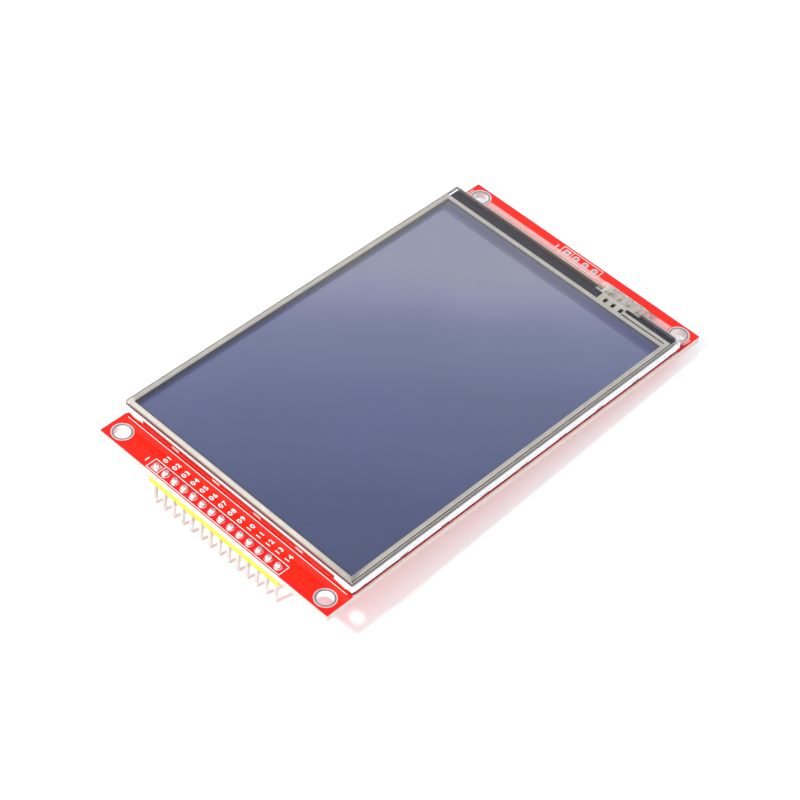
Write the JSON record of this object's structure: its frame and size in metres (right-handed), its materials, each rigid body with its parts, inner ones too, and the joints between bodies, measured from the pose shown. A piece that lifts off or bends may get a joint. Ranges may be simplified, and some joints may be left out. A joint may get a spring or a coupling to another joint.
{
  "type": "tft display module",
  "caption": "Flat colour display module: a backlit liquid-crystal panel with a touch screen on a circuit board, with a pin header and a memory-card socket underneath.",
  "frame": {"origin": "centre of the four mounting holes, on the underside of the board", "axes": "+Z out of the screen, +Y along the long side away from the pin header, +X along the short side"},
  "size_m": [0.0618, 0.108, 0.0144],
  "materials": {
    "solder_mask_board": "glossy solder mask over glass-fibre board",
    "tinned_metal": "tin plate and solder",
    "gold_contact": "flash-plated contact metal",
    "yellow_plastic": "moulded nylon",
    "black_foam": "matt foam tape",
    "bright_steel": "bright rolled sheet",
    "white_plastic": "white moulded polycarbonate",
    "clear_acrylic": "clear acrylic",
    "clear_film": "clear polyester film",
    "orange_flex": "polyimide film over copper",
    "black_tape": "matt black adhesive tape",
    "polarizer": "smoke-blue polarizing film",
    "panel_glass": "thin panel glass",
    "touch_glass": "coated float glass",
    "printed_silver": "printed silver ink",
    "black_plastic": "moulded black resin",
    "resistor_body": "glazed resistor",
    "capacitor_body": "fired ceramic"
  },
  "bodies": {
    "root": {"board": "solder_mask_board", "mounting_rings": "tinned_metal", "pin_lands": "tinned_metal", "spare_lands": "tinned_metal", "flex_lands": "gold_contact", "header_strip": "yellow_plastic", "header_pins": "gold_contact", "solder_joints": "tinned_metal", "foam_tape": "black_foam", "steel_tray": "bright_steel", "light_frame": "white_plastic", "reflector_sheet": "white_plastic", "light_guide": "clear_acrylic", "diffuser_sheet": "white_plastic", "prism_sheet": "clear_film", "led_flex": "orange_flex", "leds": "white_plastic", "shading_tape": "black_tape", "rear_polarizer": "polarizer", "panel_rear_glass": "panel_glass", "panel_front_glass": "panel_glass", "front_polarizer": "polarizer", "driver_chip": "black_plastic", "panel_flex": "orange_flex", "gasket": "black_tape", "touch_glass": "touch_glass", "touch_conductors": "printed_silver", "touch_film": "clear_film", "touch_tail": "clear_film", "tail_conductors": "printed_silver", "socket_base": "black_plastic", "socket_cover": "bright_steel", "socket_contacts": "gold_contact", "touch_chip": "black_plastic", "touch_chip_leads": "tinned_metal", "regulator": "black_plastic", "regulator_leads": "tinned_metal", "transistor": "black_plastic", "transistor_leads": "tinned_metal", "resistors": "resistor_body", "capacitors": "capacitor_body", "chip_ends": "tinned_metal"}
  },
  "joints": []
}
